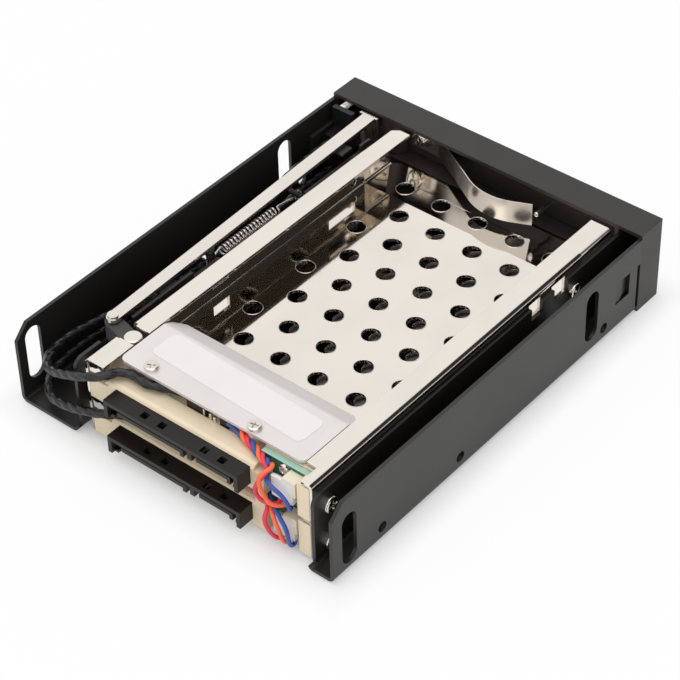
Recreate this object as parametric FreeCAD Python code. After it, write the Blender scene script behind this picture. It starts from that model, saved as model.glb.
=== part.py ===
import FreeCAD, Part
import math
import os

# Two-level hot swap cage for 2.5 inch drives that fills one 3.5 inch bay.
# X runs across, +Y runs to the rear where the host plugs are, +Z is up.
# While it is modelled, Y is counted from the back of the front bezel.
# On writing, every piece moves forward by half of the overall length.

# Across the cage, from the right wall to the left wall
drive_width = 69.85
drive_play = 0.05
tray_sheet = 0.8
right_channel = 7.975
spacer_gap = 2.475
left_channel = 19.6
width = right_channel + 2 * tray_sheet + drive_width + 2 * drive_play + spacer_gap + left_channel
half = width / 2
cage_centre = -half + right_channel + tray_sheet + drive_play + drive_width / 2
tray_left = cage_centre + drive_width / 2 + drive_play
tray_right = cage_centre - drive_width / 2 - drive_play
wall_left = tray_left + tray_sheet
wall_right = tray_right - tray_sheet
left_inner_face = wall_left + spacer_gap

# Two levels above each other
level_pitch = 11.8
tray_bottom = 1.2
levels = (("lower", 0), ("upper", 1))
bezel_height = tray_bottom + 2 * level_pitch + 0.2
bezel_depth = 9.7
bezel_wall = 1.2
bezel_floor = 0.9
bar_height = 0.6
arm_length = 12.0
arm_thick = 1.1
arm_edge = 1.7

# Running and seating clearances
seat = 0.1
slide_gap = 0.3
pin_gap = 0.05

# Cage trays of bright steel, one per drive, stacked on each other
tray_bend = 0.6
flange_width = 6.3
tray_front = 2.2
tray_rear = 120.8
hole_radius = 2.55
hole_pitch = 12.05
row_pitch = 10.37
hole_rows = 9
first_row = 10.2
hole_centre = cage_centre + 0.65
flange_gap = (tray_rear - 16.3, tray_rear - 10.65)
notch_depth = 3.1
notch_front = tray_rear - 5.7
front_chamfer = 3.0
tab_width = 4.6
tab_height = 3.4

# Black side brackets
bracket_sheet = 1.0
bracket_bend = 0.8
bracket_lift = 0.3
bracket_length = tray_rear + 2.6
bracket_bevel = 4.0
outer_top = bezel_height - 1.2
right_inner_top = bezel_height - 3.0
right_inner_rear = tray_rear + 0.7
left_inner_top = bezel_height - 2.3
left_inner_front = 8.0
left_inner_rear = tray_rear + 1.0
inner_corner = 3.0
side_hole_radius = 1.5
side_hole_height = 4.8
side_hole_places = (15.4, 75.4, 105.4)
slot_width = 5.3
right_slots = ((21.2, 4.8, bezel_height - 4.6), (tray_rear - 3.4, 3.0, bezel_height - 6.3))
left_slots = ((22.2, 6.2, bezel_height - 3.1), (tray_rear - 2.7, 5.2, bezel_height - 3.6))
window_front = 4.6
window_size = 6.0
window_low = 9.2
window_high = 16.0
screw_places = (19.8, tray_rear - 4.6)
screw_height = 3.8
screw_head = 2.3
screw_head_height = 1.3
screw_radius = 1.25
rear_screw_bite = 3.2
spacer_radius = 2.6

# Doors, each with an involute heel that drives its eject rod
hinge_x = left_inner_face + 1.7
hinge_y = -5.0
door_height = level_pitch - 1.2
door_play = 0.3
pin_radius = 1.0
rod_stroke = 4.4
heel_low = 2.5
heel_high = 7.5
heel_gap = 0.1
opening_right = tray_right - 0.375
barrel_radius = bezel_depth + hinge_y
opening_left = hinge_x + barrel_radius + door_play
grip_width = 22.0
grip_depth = 1.6
grip_edge = 2.6
grip_centre = tray_right + 14.025
rib_width = 0.7
rib_ends = (opening_right + 5.4, cage_centre - 2.95)

# Leaf springs on the doors
leaf_sheet = 0.3
leaf_low = 2.5
leaf_high = 9.3
leaf_screw_x = hinge_x - 8.6
leaf_length = 52.1
leaf_crest_reach = 39.7
leaf_tip = (hinge_x - leaf_length, 3.6)
leaf_crest = (hinge_x - leaf_crest_reach, 9.2)
leaf_root = hinge_x - 14.9
leaf_end = hinge_x - 5.4
leaf_screw_length = 2.8

# Eject rods, levers and springs
rod_low = level_pitch - 1.8
rod_sheet = 1.0
rod_front = 0.6
rod_front_centre = left_inner_face + 6.0
rod_front_width = 4.0
rod_rear_width = 3.5
heel_plate = (hinge_x + 1.5, hinge_x + 7.5)
gusset_length = 5.4
lever_pivot = (tray_left - 2.425, tray_rear - 13.6)
rod_pin_place = (left_inner_face + 3.3, lever_pivot[1] - 2.4)
rod_pin_radius = 1.0
rod_pin_head = 1.45
lever_low = 4.6
lever_high = level_pitch - 2.2
arm_low = 7.2
arm_reach = (-9.0, -0.9)
arm_radius = 1.6
lever_radius = 2.2
pivot_radius = 1.2
hub_radius = 2.1
pivot_head = 2.35
pivot_top = tray_bottom + level_pitch + rod_low + rod_sheet
slot_play = 0.15
lever_window = (-6.2, 5.3)
ear_places = ((14.0, 18.0), (84.0, 90.0))
ear_sheet = 0.8
ear_reach = left_inner_face + 6.8
spring_x = left_inner_face + 7.2
spring_height = 3.0
spring_radius = 1.5
spring_wire = 0.28
coil_turns = 19
coil_steps = 8
hook_steps = 8
hook_lean = 0.3
hook_rise = 0.75
post_front = 32.0
post_rear = 67.0
post_radius = 0.75
hook_length = 3.4

# Circuit boards, upright across the rear of each level
board_front = tray_rear - 5.1
board_thick = 1.6
board_left = tray_left - 3.725
board_right = tray_right + 3.525
board_low = 0.9
board_top = 6.8
board_tab = tray_right + 17.525
board_tab_top = 10.0
board_screw = (tray_right + 10.225, 8.4)
board_screw_radius = 0.9
board_screw_length = 5.4
back_front = board_front + board_thick + seat

# Host plugs to the rear of the boards and drive sockets to the front
plug_centre = cage_centre + 4.65
plug_width = drive_width - 27.05
plug_left = plug_centre + plug_width / 2
plug_right = plug_centre - plug_width / 2
plug_rear = tray_rear + 4.4
plug_low = 1.5
plug_top = 6.7
plug_wall = 1.2
tongue_low = 3.0
tongue_sheet = 1.2
key_wall = 1.1
power_tongue = (plug_left - 25.0, plug_left - 3.8)
signal_tongue = (plug_right + 3.0, plug_right + 13.6)
key_hole = 2.0
key_places = (plug_centre + 9.7, plug_centre + 4.1, plug_centre - 9.4, plug_centre - 14.9)
socket_shoulder = board_front - 10.4
socket_front = socket_shoulder - 4.0
socket_low = 1.4
socket_top = 7.0
nose_inset = 1.5
groove_depth = 4.5

# Cream board holders
holder_front = tray_rear - 15.6
holder_middle = tray_rear - 10.0
holder_rear = tray_rear
holder_left = tray_left - 13.425
holder_end = tray_left - seat
plate_rear = holder_middle - 0.4
ridge_top = 7.7
ridge_front = board_front - 0.6
ridge_left = plug_left + 2.6
ridge_right = plug_right - 1.2
shelf_top = 8.5
shoulder_top = 6.2
boss_radius = 1.7
pocket = (tray_right + 3.925, tray_right + 14.025)

# Wire headers on the boards and the plugs in them
header = (tray_right + 4.525, tray_right + 8.5)
header_low = 4.6
header_top = 9.1
header_wall = 0.8
wire_plug_end = tray_right + 11.725
wire_plug_low = 1.9
wire_plug_top = header_top - header_wall - pin_gap
wire_plug_rear = tray_rear - 0.1
wire_plug_thick = 2.3
wire_plug_slope = 1.5
harness_plug = (plug_centre - 9.4, plug_centre - 7.1)
harness_depth = 1.9
harness_top = 11.0
lead_plug = (6.0, 1.5, 1.7, 1.4)

# Rear cover plate and its blank label
cover_sheet = 0.8
cover_rear = board_front + 0.1
cover_bend = cover_rear - 16.2
cover_lip = cover_bend - 5.2
cover_drop = 2.6
cover_left = tray_left - 5.925
cover_right = tray_right + 5.725
cover_screws = ((cover_left - 8.5, cover_rear - 2.4), (cover_right + 16.7, cover_rear - 2.0))
cover_screw_head = 1.85
cover_screw_rise = 0.9
cover_screw_length = 4.0
label_size = (49.1, 9.15)
label_centre = ((cover_left + cover_right) / 2 + 0.15, cover_rear - 9.9)
label_turn = -2.4
label_sheet = 0.1

# Recess in the holder under the rear edge of the cover, with two ribs across it
recess_front = holder_middle + 0.8
recess_margin = 2.4
recess_rib = 2.0
recess_ribs = (cover_screws[0][0] - 5.2, plug_centre - 6.0)

# Leads and wires
wire_radius = 0.55
lead_radius = 1.25

# Front controls beside the doors
button_x = half - 4.6
button_height = 5.4
button_width = 4.6
button_tall = 4.2
button_travel = 0.8
button_skirt = 0.6
stem_radius = 1.0
light_height = 9.8
light_radius = 1.0
switch_board_front = 2.0
switch_board_thick = 1.6
switch_board = (half - 9.2, half - 2.4)
switch_boss_x = half - 8.0
switch_size = 4.0
switch_body = 1.1
switch_tall = 1.6
board_plug = (half - 5.6, 2.0, 1.7)

mid_y = (plug_rear - bezel_depth) / 2
bracket_floor = bracket_lift + bracket_sheet
opening_top = bezel_height - bezel_wall + seat
parts = {}


def base(level):
    return tray_bottom + level * level_pitch


def box(x0, x1, y0, y1, z0, z1):
    return Part.makeBox(x1 - x0, y1 - y0, z1 - z0, FreeCAD.Vector(x0, y0, z0))


def rod_z(x, y, z0, z1, radius):
    return Part.makeCylinder(radius, z1 - z0, FreeCAD.Vector(x, y, z0), FreeCAD.Vector(0, 0, 1))


def rod_y(x, z, y0, y1, radius):
    return Part.makeCylinder(radius, y1 - y0, FreeCAD.Vector(x, y0, z), FreeCAD.Vector(0, 1, 0))


def rod_x(y, z, x0, x1, radius):
    return Part.makeCylinder(radius, x1 - x0, FreeCAD.Vector(x0, y, z), FreeCAD.Vector(1, 0, 0))


def plan(points, z0, z1):
    """A plate with its outline in plan."""
    corners = [FreeCAD.Vector(x, y, z0) for x, y in points]
    face = Part.Face(Part.makePolygon(corners + corners[:1]))
    return face.extrude(FreeCAD.Vector(0, 0, z1 - z0))


def side(points, x0, x1):
    """A plate with its outline in the side view."""
    corners = [FreeCAD.Vector(x0, y, z) for y, z in points]
    face = Part.Face(Part.makePolygon(corners + corners[:1]))
    return face.extrude(FreeCAD.Vector(x1 - x0, 0, 0))


def front(points, y0, y1):
    """A plate with its outline in the front view."""
    corners = [FreeCAD.Vector(x, y0, z) for x, z in points]
    face = Part.Face(Part.makePolygon(corners + corners[:1]))
    return face.extrude(FreeCAD.Vector(0, y1 - y0, 0))


def edges_along(shape, axis):
    """The straight edges of a shape that run along one axis."""
    way = FreeCAD.Vector(*axis)
    straight = [e for e in shape.Edges if e.Curve.TypeId == "Part::GeomLine"]
    return [e for e in straight if abs(e.tangentAt(e.FirstParameter).dot(way)) > 0.99]


def capsule(a, b, radius, z0, z1):
    """An obround plate from centre a to centre b."""
    (ax, ay), (bx, by) = a, b
    length = math.hypot(bx - ax, by - ay)
    nx = -(by - ay) / length * radius
    ny = (bx - ax) / length * radius
    corners = [(ax + nx, ay + ny), (bx + nx, by + ny), (bx - nx, by - ny), (ax - nx, ay - ny)]
    return plan(corners, z0, z1).fuse([rod_z(ax, ay, z0, z1, radius), rod_z(bx, by, z0, z1, radius)])


def upright_slot(x0, x1, y, z0, z1):
    """A cutter for an upright obround slot through a side wall."""
    radius = slot_width / 2
    ends = [rod_x(y, z0 + radius, x0, x1, radius), rod_x(y, z1 - radius, x0, x1, radius)]
    return box(x0, x1, y - radius, y + radius, z0 + radius, z1 - radius).fuse(ends)


def folded_strip(points, inner_radii, sheet, place, direction):
    """A bent sheet: the points give one face, and the sheet lies to the left of their run.

    place turns a point of the section into space, and direction is the length of the strip.
    """
    near = []
    far = []

    def unit(p, q):
        d = math.hypot(q[0] - p[0], q[1] - p[1])
        return ((q[0] - p[0]) / d, (q[1] - p[1]) / d)

    def put(point, normal, bend=False):
        near.append((place(*point), bend))
        far.append((place(point[0] + normal[0] * sheet, point[1] + normal[1] * sheet), bend))

    ways = [unit(p, q) for p, q in zip(points, points[1:])]
    put(points[0], (-ways[0][1], ways[0][0]))
    for u, v, corner, inner in zip(ways, ways[1:], points[1:-1], inner_radii):
        turn = math.atan2(u[0] * v[1] - u[1] * v[0], u[0] * v[0] + u[1] * v[1])
        hand = 1 if turn > 0 else -1
        radius = inner + sheet if turn > 0 else inner
        reach = radius * math.tan(abs(turn) / 2)
        start = (corner[0] - u[0] * reach, corner[1] - u[1] * reach)
        end = (corner[0] + v[0] * reach, corner[1] + v[1] * reach)
        centre = (start[0] - u[1] * radius * hand, start[1] + u[0] * radius * hand)
        mean = unit((0, 0), (-u[1] - v[1], u[0] + v[0]))
        put(start, (-u[1], u[0]))
        put((centre[0] - mean[0] * radius * hand, centre[1] - mean[1] * radius * hand), mean, True)
        put(end, (-v[1], v[0]))
    put(points[-1], (-ways[-1][1], ways[-1][0]))

    def outline(line):
        made = []
        i = 0
        while i < len(line) - 1:
            if line[i + 1][1]:
                made.append(Part.Arc(line[i][0], line[i + 1][0], line[i + 2][0]).toShape())
                i += 2
            else:
                made.append(Part.makeLine(line[i][0], line[i + 1][0]))
                i += 1
        return made

    ends = [Part.makeLine(near[-1][0], far[-1][0]), Part.makeLine(far[0][0], near[0][0])]
    wire = Part.Wire(Part.__sortEdges__(outline(near) + outline(far) + ends))
    return Part.Face(wire).extrude(direction)


def screw(place, axis, head_radius, head_height, shank_radius, length):
    """A pan-head screw: place is under the head, and axis points the way the head faces."""
    way = FreeCAD.Vector(*axis)
    spot = FreeCAD.Vector(*place)
    head = Part.makeCylinder(head_radius, head_height, spot, way)
    rims = [e for e in head.Edges if (e.CenterOfMass - spot).dot(way) > head_height * 0.9]
    head = head.makeFillet(head_height * 0.45, rims)
    shank = Part.makeCylinder(shank_radius, length, spot - way * length, way)
    return head.fuse(shank)


def cord(points, radius, name):
    """A round cord along straight runs joined by tangent arcs as large as the runs allow."""
    spots = [FreeCAD.Vector(*p) for p in points]
    edges = []
    bends = []
    here = spots[0]
    for before, corner, after in zip(spots, spots[1:], spots[2:]):
        u = (corner - before).normalize()
        v = (after - corner).normalize()
        turn = math.acos(u.dot(v))
        reach = 0.45 * min((corner - before).Length, (after - corner).Length)
        bend = reach / math.tan(turn / 2)
        start = corner - u * reach
        end = corner + v * reach
        inward = (v - u).normalize()
        middle = corner + inward * (bend / math.cos(turn / 2) - bend)
        edges.append(Part.LineSegment(here, start).toShape())
        edges.append(Part.Arc(start, middle, end).toShape())
        here = end
        bends.append(bend)
    edges.append(Part.LineSegment(here, spots[-1]).toShape())
    path = Part.Wire(edges)
    profile = Part.Wire(Part.Circle(spots[0], spots[1] - spots[0], radius).toShape())
    tube = path.makePipeShell([profile], True, False)
    share = tube.Volume / (math.pi * radius ** 2 * path.Length)
    print(f"{name}: length {path.Length:.1f}, smallest bend {min(bends):.2f}, volume share {share:.3f}")
    return tube


def add(name, *solids):
    parts[name] = solids[0] if len(solids) == 1 else Part.makeCompound(list(solids))


# Cage trays

def perforations(level):
    """Staggered rows of round holes: five in the even rows, four in the odd ones."""
    z = base(level)
    cutters = []
    for row in range(hole_rows):
        count = 5 - row % 2
        for i in range(count):
            x = hole_centre + (i - (count - 1) / 2) * hole_pitch
            y = first_row + row * row_pitch
            cutters.append(rod_z(x, y, z - 1, z + tray_sheet + 1, hole_radius))
    return cutters


def cage_tray(level):
    z = base(level)
    top = z + level_pitch
    line = [(wall_right + flange_width, top), (wall_right, top), (wall_right, z)]
    line += [(wall_left, z), (wall_left, top), (wall_left - flange_width, top)]
    tray = folded_strip(line, [tray_bend] * 4, tray_sheet, lambda x, h: FreeCAD.Vector(x, tray_front, h),
                        FreeCAD.Vector(0, tray_rear - tray_front, 0))
    cuts = [box(tray_right, tray_left, plate_rear, tray_rear + 1, z - 1, z + 2)]
    flange = wall_left - flange_width - 1
    cuts.append(box(flange, wall_left + 1, flange_gap[0], flange_gap[1], top - 2 * tray_sheet, top + 1))
    cuts.append(box(tray_left - 1, wall_left + 1, flange_gap[0] - 0.9, flange_gap[1] + 0.25, z + 4, top + 1))
    notch = wall_right + flange_width - notch_depth
    cuts.append(box(notch, notch + flange_width, notch_front, tray_rear + 1, top - 2 * tray_sheet, top + 1))
    corner = wall_left - front_chamfer
    cuts.append(plan([(corner, tray_front - 1), (wall_left + 1, tray_front - 1),
                      (wall_left + 1, tray_front + front_chamfer * 0.7 + 0.8),
                      (corner, tray_front)], z - 1, top + 1))
    for y in screw_places:
        cuts.append(rod_x(y, z + screw_height, wall_right - 1, tray_right + 1, screw_radius + pin_gap))
        cuts.append(rod_x(y, z + screw_height, tray_left - 1, wall_left + 1, screw_radius + pin_gap))
    cuts.append(rod_z(lever_pivot[0], lever_pivot[1], z - 1, z + 2, pivot_radius + pin_gap))
    tab = box(wall_left - tab_width - tray_sheet, wall_left - tray_sheet - 0.6, tray_rear - tray_sheet,
              tray_rear, top - tab_height, top)
    return tray.cut(cuts + perforations(level)).fuse(tab)


# Side brackets

def rounded_corner(x0, x1, y, z, radius):
    """A cutter that rounds the rear top corner of an upright wall."""
    block = box(x0, x1, y - radius, y + 1, z - radius, z + 1)
    return block.cut(rod_x(y - radius, z - radius, x0, x1, radius))


def bracket_cuts(wall, slots):
    """Bevel, slots, holes and bezel window of an outer wall that lies between the X values."""
    x0, x1 = wall
    rear = bracket_length
    low = outer_top - bracket_bevel
    bevel = [(rear - bracket_bevel, outer_top + 1), (rear - bracket_bevel, outer_top), (rear, low)]
    bevel += [(rear + 1, low), (rear + 1, outer_top + 1)]
    cuts = [side(bevel, x0, x1)]
    cuts += [upright_slot(x0, x1, y, slot_low, slot_high) for y, slot_low, slot_high in slots]
    cuts += [rod_x(y, side_hole_height, x0, x1, side_hole_radius) for y in side_hole_places]
    cuts.append(box(x0, x1, window_front, window_front + window_size, window_low, window_high))
    cuts.append(box(x0, x1, -1, bezel_wall, 2.0, window_high))
    return cuts


def right_bracket():
    line = [(-half, outer_top), (-half, bracket_lift), (wall_right, bracket_lift)]
    line.append((wall_right, right_inner_top))
    shell = folded_strip(line, [bracket_bend] * 2, bracket_sheet, lambda x, h: FreeCAD.Vector(x, 0, h),
                         FreeCAD.Vector(0, bracket_length, 0))
    inner = (wall_right - bracket_sheet - 0.5, wall_right + 1)
    cuts = bracket_cuts((-half - 1, -half + bracket_sheet + 0.5), right_slots)
    cuts.append(box(inner[0], inner[1], right_inner_rear, bracket_length + 1, bracket_floor, outer_top))
    cuts.append(rounded_corner(inner[0], inner[1], right_inner_rear, right_inner_top, inner_corner))
    for _, level in levels:
        for y in screw_places:
            cuts.append(rod_x(y, base(level) + screw_height, inner[0], inner[1], screw_radius + pin_gap))
    return shell.cut(cuts)


def left_bracket():
    line = [(left_inner_face, left_inner_top), (left_inner_face, bracket_lift), (half, bracket_lift)]
    line.append((half, outer_top))
    shell = folded_strip(line, [bracket_bend] * 2, bracket_sheet, lambda x, h: FreeCAD.Vector(x, 0, h),
                         FreeCAD.Vector(0, bracket_length, 0))
    inner = (left_inner_face - 1, left_inner_face + bracket_sheet + 0.5)
    cuts = bracket_cuts((half - bracket_sheet - 0.5, half + 1), left_slots)
    cuts.append(box(inner[0], inner[1], -1, left_inner_front, bracket_floor, outer_top))
    cuts.append(box(inner[0], inner[1], left_inner_rear, bracket_length + 1, bracket_floor, outer_top))
    cuts.append(rounded_corner(inner[0], inner[1], left_inner_rear, left_inner_top, inner_corner))
    adds = []
    seen = left_inner_face + bracket_sheet
    for _, level in levels:
        z = base(level)
        window_top = z + rod_low + 0.2 if level == 0 else outer_top
        window = [lever_pivot[1] + reach for reach in lever_window]
        cuts.append(box(inner[0], inner[1], window[0], window[1], z + lever_low - 0.6, window_top))
        for y in screw_places:
            cuts.append(rod_x(y, z + screw_height, inner[0], inner[1], screw_radius + pin_gap))
        ear_top = z + rod_low - slide_gap
        for y0, y1 in ear_places:
            adds.append(box(seen - 0.5, ear_reach, y0, y1, ear_top - ear_sheet, ear_top))
        adds.append(rod_x(post_front, z + spring_height, seen - 0.5, spring_x + spring_radius, post_radius))
    return shell.cut(cuts).fuse(adds)


def bracket_screws(face, way, lengths):
    """The two levels' front and rear screws of one side bracket."""
    made = []
    for _, level in levels:
        for y, length in zip(screw_places, lengths):
            made.append(screw((face, y, base(level) + screw_height), (way, 0, 0), screw_head,
                              screw_head_height, screw_radius, length))
    return made


def spacers():
    made = []
    for _, level in levels:
        for y in screw_places:
            z = base(level) + screw_height
            ring = rod_x(y, z, wall_left, left_inner_face, spacer_radius)
            made.append(ring.cut(rod_x(y, z, wall_left - 1, left_inner_face + 1, screw_radius + pin_gap)))
    return made


# Front bezel

def front_bezel():
    block = box(-half, half, -bezel_depth, 0, 0, bezel_height)
    rim = [e for e in edges_along(block, (1, 0, 0)) if e.CenterOfMass.y < -1]
    rim += [e for e in edges_along(block, (0, 0, 1)) if e.CenterOfMass.y < -1]
    block = block.makeFillet(0.8, rim)
    low = bezel_floor
    cuts = [box(opening_right, opening_left, -bezel_depth - 1, 1, low, opening_top)]
    blind_front = -bezel_depth + bezel_wall
    cuts.append(box(opening_left - 1, half - bezel_wall, blind_front, 1, low, opening_top))
    cuts.append(box(-half + bezel_wall, opening_right - bezel_wall, blind_front, 1, low, opening_top))
    bar_top = base(1) - door_play
    bar = box(opening_right - 0.5, opening_left, -bezel_depth + 0.5, 0, bar_top - bar_height, bar_top)
    arms = []
    for hand in (-1, 1):
        outer = half - bracket_sheet - seat
        arm = box(outer - arm_thick, outer, -2.0, arm_length, window_low - arm_edge, window_high + arm_edge)
        tooth = outer + 0.9 * bracket_sheet
        tooth_rear = window_front + window_size - slide_gap
        nub = [(outer, window_front + slide_gap), (tooth, tooth_rear - 1.5), (tooth, tooth_rear)]
        nub.append((outer, tooth_rear))
        both = arm.fuse(plan(nub, window_low + slide_gap, window_high - slide_gap))
        if hand < 0:
            both = both.mirror(FreeCAD.Vector(0, 0, 0), FreeCAD.Vector(1, 0, 0))
        arms.append(both)
    boss = rod_y(switch_boss_x, bar_top - bar_height, blind_front - 0.2, switch_board_front, 1.4)
    holes = [rod_z(hinge_x, hinge_y, bezel_floor - 0.6, bezel_height - 0.6, pin_radius + pin_gap)]
    for _, level in levels:
        z = base(level)
        hole_x = button_width / 2 + seat
        hole_z = button_tall / 2 + seat
        holes.append(box(button_x - hole_x, button_x + hole_x, -bezel_depth - 1, blind_front + 1,
                         z + button_height - hole_z, z + button_height + hole_z))
        holes.append(rod_y(button_x, z + light_height, -bezel_depth - 1, blind_front + 1,
                           light_radius + pin_gap))
    return block.cut(cuts).fuse([bar, boss] + arms).cut(holes)


# Doors with barrel, grip, rib and involute heel

def heel(level):
    """The involute drives the flat rod end in step with the door, by one stroke in a quarter turn."""
    z = base(level)
    rate = rod_stroke / (math.pi / 2)
    reach = rod_front - hinge_y - heel_gap
    points = []
    steps = 8
    for i in range(steps + 1):
        angle = math.pi / 2 * (1 - i / steps)
        support = reach + rate * (math.pi / 2 - angle)
        x = support * math.cos(angle) + rate * math.sin(angle)
        y = support * math.sin(angle) - rate * math.cos(angle)
        points.append(FreeCAD.Vector(hinge_x + x, hinge_y + y, z + heel_low))
    curve = Part.BSplineCurve()
    curve.interpolate(points)
    inner = FreeCAD.Vector(hinge_x + 1.0, hinge_y - 2.6, z + heel_low)
    axis = FreeCAD.Vector(hinge_x - 1.0, hinge_y + 3.6, z + heel_low)
    lines = [Part.makeLine(points[-1], inner), Part.makeLine(inner, axis), Part.makeLine(axis, points[0])]
    wire = Part.Wire([curve.toShape()] + lines)
    return Part.Face(wire).extrude(FreeCAD.Vector(0, 0, heel_high - heel_low))


def door(level):
    z = base(level)
    top = z + door_height
    free = opening_right + door_play
    slab = box(free, hinge_x, -bezel_depth, hinge_y, z, top)
    slab = slab.makeFillet(0.5, [e for e in edges_along(slab, (1, 0, 0)) if e.CenterOfMass.y < hinge_y - 1])
    barrel = rod_z(hinge_x, hinge_y, z, top, barrel_radius)
    scoop_radius = (grip_width ** 2 / 4 + grip_depth ** 2) / (2 * grip_depth)
    scoop = rod_z(grip_centre, grip_depth - bezel_depth - scoop_radius, z + grip_edge, top - grip_edge,
                  scoop_radius)
    rib = box(rib_ends[0], rib_ends[1], hinge_y - 0.2, hinge_y + rib_width, top - 1.6, top - 0.9)
    cuts = [scoop, rod_z(hinge_x, hinge_y, z - 1, top + 1, pin_radius + pin_gap)]
    screw_z = z + (leaf_low + leaf_high) / 2
    cuts.append(rod_y(leaf_screw_x, screw_z, hinge_y - 3.0, hinge_y + 1, screw_radius + pin_gap))
    return slab.fuse([barrel, heel(level), rib]).cut(cuts)


def leaf_spring(level):
    z = base(level)
    points = [leaf_tip, leaf_crest, (leaf_root, hinge_y), (leaf_end, hinge_y)]
    leaf = folded_strip(points, [16.0, 8.0], leaf_sheet, lambda x, y: FreeCAD.Vector(x, y, z + leaf_low),
                        FreeCAD.Vector(0, 0, leaf_high - leaf_low))
    hole = rod_y(leaf_screw_x, z + (leaf_low + leaf_high) / 2, hinge_y - 1, hinge_y + 2,
                 screw_radius + pin_gap)
    return leaf.cut(hole)


def leaf_screw(level):
    z = base(level) + (leaf_low + leaf_high) / 2
    return screw((leaf_screw_x, hinge_y + leaf_sheet, z), (0, 1, 0), screw_head, screw_head_height,
                 screw_radius, leaf_screw_length)


# Eject rods, rod pins, levers and return springs

def rod_centre(y):
    share = (y - rod_front) / (rod_pin_place[1] - rod_front)
    return rod_front_centre + share * (rod_pin_place[0] - rod_front_centre)


def eject_rod(level):
    z = base(level)
    low = z + rod_low
    high = low + rod_sheet
    px, py = rod_pin_place
    fw = rod_front_width / 2
    rw = rod_rear_width / 2
    cx = rod_front_centre
    strip = plan([(cx - fw, rod_front), (cx + fw, rod_front), (px + rw, py), (px - rw, py)], low, high)
    rounded = rod_z(px, py, low, high, rw)
    end_plate = box(heel_plate[0], heel_plate[1], rod_front, rod_front + rod_sheet, z + 0.5, high)
    gusset = box(cx - fw, cx - fw + rod_sheet, rod_front, rod_front + gusset_length, z + 2.0, high)
    tab_x = rod_centre(post_rear) + fw - rod_sheet
    tab = box(tab_x - 0.4, tab_x + 0.6, post_rear - 1.2, post_rear + 1.2, z + spring_height - 1.2, high)
    post = rod_x(post_rear, z + spring_height, tab_x, spring_x + spring_radius, post_radius)
    body = strip.fuse([rounded, end_plate, gusset, tab, post])
    return body.cut(rod_z(px, py, low - 1, high + 1, rod_pin_radius + pin_gap))


def rod_pin(level):
    z = base(level)
    px, py = rod_pin_place
    shaft = rod_z(px, py, z + lever_low + 0.2, z + rod_low + rod_sheet, rod_pin_radius)
    top = z + rod_low + rod_sheet
    head = rod_z(px, py, top, top + 0.7, rod_pin_head)
    return shaft.fuse(head)


def eject_lever(level):
    z = base(level)
    ox, oy = lever_pivot
    px, py = rod_pin_place
    reach = math.hypot(px - ox, py - oy)
    near = (px - ox) / reach
    lift = (py - oy) / reach
    shortest = (px - ox) - rod_pin_radius * 0.1
    tip = (ox + near * reach, oy + lift * reach)
    arm = capsule((ox, oy), tip, lever_radius, z + lever_low, z + lever_high)
    inner = capsule((ox, oy), (ox + arm_reach[0], oy + arm_reach[1]), arm_radius, z + arm_low, z + lever_high)
    hub = rod_z(ox, oy, z + tray_sheet + pin_gap, z + lever_high, hub_radius)
    slot_from = (ox + near * shortest, oy + lift * shortest)
    slot_to = (ox + near * (reach + 0.1), oy + lift * (reach + 0.1))
    slot = capsule(slot_from, slot_to, rod_pin_radius + slot_play, z, z + level_pitch)
    bore = rod_z(ox, oy, z, z + level_pitch, pivot_radius + pin_gap)
    return arm.fuse([inner, hub]).cut([slot, bore])


def pivot_pin():
    ox, oy = lever_pivot
    under_head = base(1) + lever_high + seat
    shaft = rod_z(ox, oy, tray_bottom, under_head, pivot_radius)
    head = rod_z(ox, oy, under_head, pivot_top, pivot_head)
    head = head.makeFillet(0.4, [e for e in head.Edges if e.CenterOfMass.z > pivot_top - 0.1])
    return shaft.fuse(head)


def return_spring(level, name):
    """One wire: a hook round the front post, an open coil, and a hook round the rear post."""
    z = base(level) + spring_height
    hook = (post_radius + pin_gap + spring_wire) / math.cos(math.pi / hook_steps)
    coil = spring_radius - spring_wire
    y0 = post_front + hook_length
    y1 = post_rear - hook_length
    bend = 2 * math.pi / hook_steps
    points = []
    for i in range(hook_steps - 1):
        angle = bend * (i - 2)
        points.append((spring_x, post_front - hook * math.cos(angle), z - hook * math.sin(angle)))
    points.append((spring_x - hook_lean, post_front + hook + hook_lean, z + coil * hook_rise))
    steps = coil_turns * coil_steps
    for i in range(steps + 1):
        angle = math.pi / 2 + 2 * math.pi * i / coil_steps
        y = y0 + (y1 - y0) * i / steps
        points.append((spring_x + coil * math.cos(angle), y, z + coil * math.sin(angle)))
    points.append((spring_x + hook_lean, post_rear - hook - hook_lean, z + coil * hook_rise))
    for i in reversed(range(hook_steps - 1)):
        angle = bend * (i - 2)
        points.append((spring_x, post_rear + hook * math.cos(angle), z - hook * math.sin(angle)))
    return cord(points, spring_wire, name)


# Board holders, boards, sockets and plugs

def cover_seat(level):
    return base(level) + level_pitch - cover_sheet


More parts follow.
